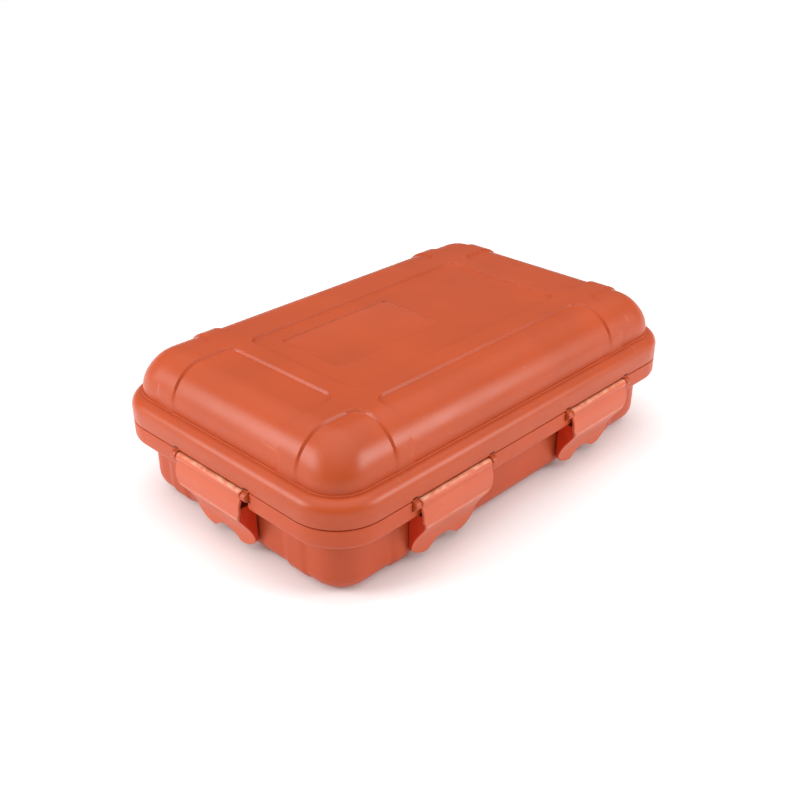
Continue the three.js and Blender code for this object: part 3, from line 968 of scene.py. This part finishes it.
# Flat packets: gauze swabs in paper, wipes in foil and plasters in paper sleeves. Each is two webs sealed
# round the edge with a pressed crimp, and swells over what it holds. They lie in three stacks.
def packet(length, width, height, seam, grid, crimp):
    """A sealed packet lying flat about the origin, its borders at mid-height."""
    piece = block((-length / 2, length / 2), (-width / 2, width / 2), (0, height))
    edit(piece)
    slice_across(0, steps(-length / 2, length / 2, round(length / grid))[1:-1])
    slice_across(1, steps(-width / 2, width / 2, round(width / grid))[1:-1])
    done()
    for v in piece.data.vertices:
        depth = min(length / 2 - abs(v.co.x), width / 2 - abs(v.co.y))
        swell = eased(depth - seam - 2, 5)
        ridge = crimp * math.sin(2 * math.pi * depth / 1.4) * (depth < seam)
        droop = 0.06 * height * math.sin(v.co.x * 0.31 + 1) * math.cos(v.co.y * 0.27)
        if v.co.z > height / 2:
            v.co.z = height * 0.5 + 0.14 + swell * (height * 0.5 - 0.2 + min(droop, 0)) + ridge
        else:
            v.co.z = height * 0.5 - 0.14 - swell * (height * 0.5 - 0.16) + ridge
    return piece


def web_material(name, colour, roughness, metallic=0.0, crease=0.35, stripe=None):
    """A thin web over soft goods: soft creases under a fine tooth, and a printed stripe if it has one."""
    material = plain_material(name, colour, roughness, metallic, noise_scale=1500, spread=0.04, height=0.1)
    nodes, link = material.node_tree.nodes, material.node_tree.links.new
    folds = nodes.new("ShaderNodeTexNoise")
    folds.inputs["Scale"].default_value = 95
    folds.inputs["Detail"].default_value = 3
    folds.inputs["Distortion"].default_value = 1.4
    link(nodes["Texture Coordinate"].outputs["Object"], folds.inputs["Vector"])
    both = nodes.new("ShaderNodeMix")
    both.inputs[0].default_value = 0.2
    link(folds.outputs["Fac"], both.inputs[2])
    link(nodes["Noise Texture"].outputs["Fac"], both.inputs[3])
    link(both.outputs[0], nodes["Bump"].inputs["Height"])
    nodes["Bump"].inputs["Strength"].default_value = crease
    nodes["Bump"].inputs["Distance"].default_value = 0.0012
    if stripe:
        split, band = nodes.new("ShaderNodeSeparateXYZ"), nodes.new("ShaderNodeMath")
        link(nodes["Texture Coordinate"].outputs["Object"], split.inputs[0])
        centre, half, ink = stripe
        band.operation = "COMPARE"
        band.inputs[1].default_value = centre
        band.inputs[2].default_value = half
        link(split.outputs["Y"], band.inputs[0])
        print_over = nodes.new("ShaderNodeMix")
        print_over.data_type = "RGBA"
        link(band.outputs["Value"], print_over.inputs[0])
        link(nodes["Color Ramp"].outputs["Color"], print_over.inputs[6])
        print_over.inputs[7].default_value = (*ink, 1)
        link(print_over.outputs[2], nodes["Principled BSDF"].inputs["Base Color"])
    return material


STACKS = (
    (
        ("gauze_packet_lower", "gauze_packet_middle", "gauze_packet_upper"), (56, 56, 3.2, 5, 1.4, 0.12),
        (3.5, -12.5, CONTENTS_Z), (0, -2.5, 2), "packet_paper",
        web_material(
            "packet_paper", (0.83, 0.84, 0.85), 0.7, crease=0.3, stripe=(-0.03, 0.0022, (0.12, 0.36, 0.62))
        ),
    ),
    (
        ("wipe_sachet_lower", "wipe_sachet_upper"), (50, 46, 2.2, 4, 1.4, 0.1),
        (3, -12.5, CONTENTS_Z + 10.5), (3, -3), "sachet_foil",
        web_material("sachet_foil", (0.36, 0.58, 0.72), 0.32, 0.6, crease=0.6),
    ),
    (
        ("plaster_lower", "plaster_middle", "plaster_upper"), (72, 19, 1.2, 2.6, 1.2, 0.06),
        (2, 31, CONTENTS_Z), (0, 2, -1.5), "plaster_paper",
        web_material("plaster_paper", (0.80, 0.70, 0.56), 0.75, crease=0.3),
    ),
)
for names, shape, (x, y, z), turns, slot, material in STACKS:
    for i, (name, turn) in enumerate(zip(names, turns)):
        piece = packet(*shape)
        piece.location = (x, y, z + i * (shape[2] + 0.3))
        piece.rotation_euler = (0, 0, math.radians(turn))
        settle(piece)
        set_down(piece, name + "_web", "base", [name], material, angle=60)


# Tweezers: two bowed arms of stainless strip, spot-welded at the rear end, narrowed to the tip and ribbed
# for grip.
def arm(side):
    """One arm, standing on edge along Y with its tip to the front."""
    piece = block((-0.45, 0.45), (-41, 39), (0, 7))
    edit(piece)
    pick("EDGE", lambda m, e: abs(e.verts[0].co.y - e.verts[1].co.y) > 1)
    round_off(0.15, 2)
    slice_across(1, steps(-40, 38, 156))
    done()
    for v in piece.data.vertices:
        along_arm = (39 - v.co.y) / 80
        bow = 0.55 + 3.35 * math.sin(math.pi * min(along_arm * 1.02, 1)) ** 0.8 + 0.9 * along_arm ** 6
        taper = 1 - 0.62 * eased(along_arm - 0.78, 0.5)
        rib = 0.16 * max(math.sin(2 * math.pi * v.co.y / 1.5), 0) * (-6 < v.co.y < 12) * (v.co.x > 0.3)
        v.co = (side * (v.co.x + rib + bow), v.co.y, 3.5 + (v.co.z - 3.5) * taper)
    edit(piece)
    bpy.ops.mesh.select_all(action="SELECT")
    bpy.ops.mesh.normals_make_consistent(inside=False)
    done()
    return piece


tweezers = arm(1)
work(tweezers, arm(-1), "UNION")
weld = block((-0.9, 0.9), (33, 38.9), (0.2, 6.8))
edit(weld)
pick("EDGE", upright)
round_off(0.3, 3)
done()
work(tweezers, weld, "UNION")
tweezers.location = (43, 0, CONTENTS_Z)
settle(tweezers)
tweezer_steel = plain_material(
    "tweezer_steel", (0.62, 0.62, 0.64), 0.3, 1.0, noise_scale=1800, spread=0.08, height=0.06
)
set_down(tweezers, "tweezers_pair", "base", ["tweezers"], tweezer_steel)
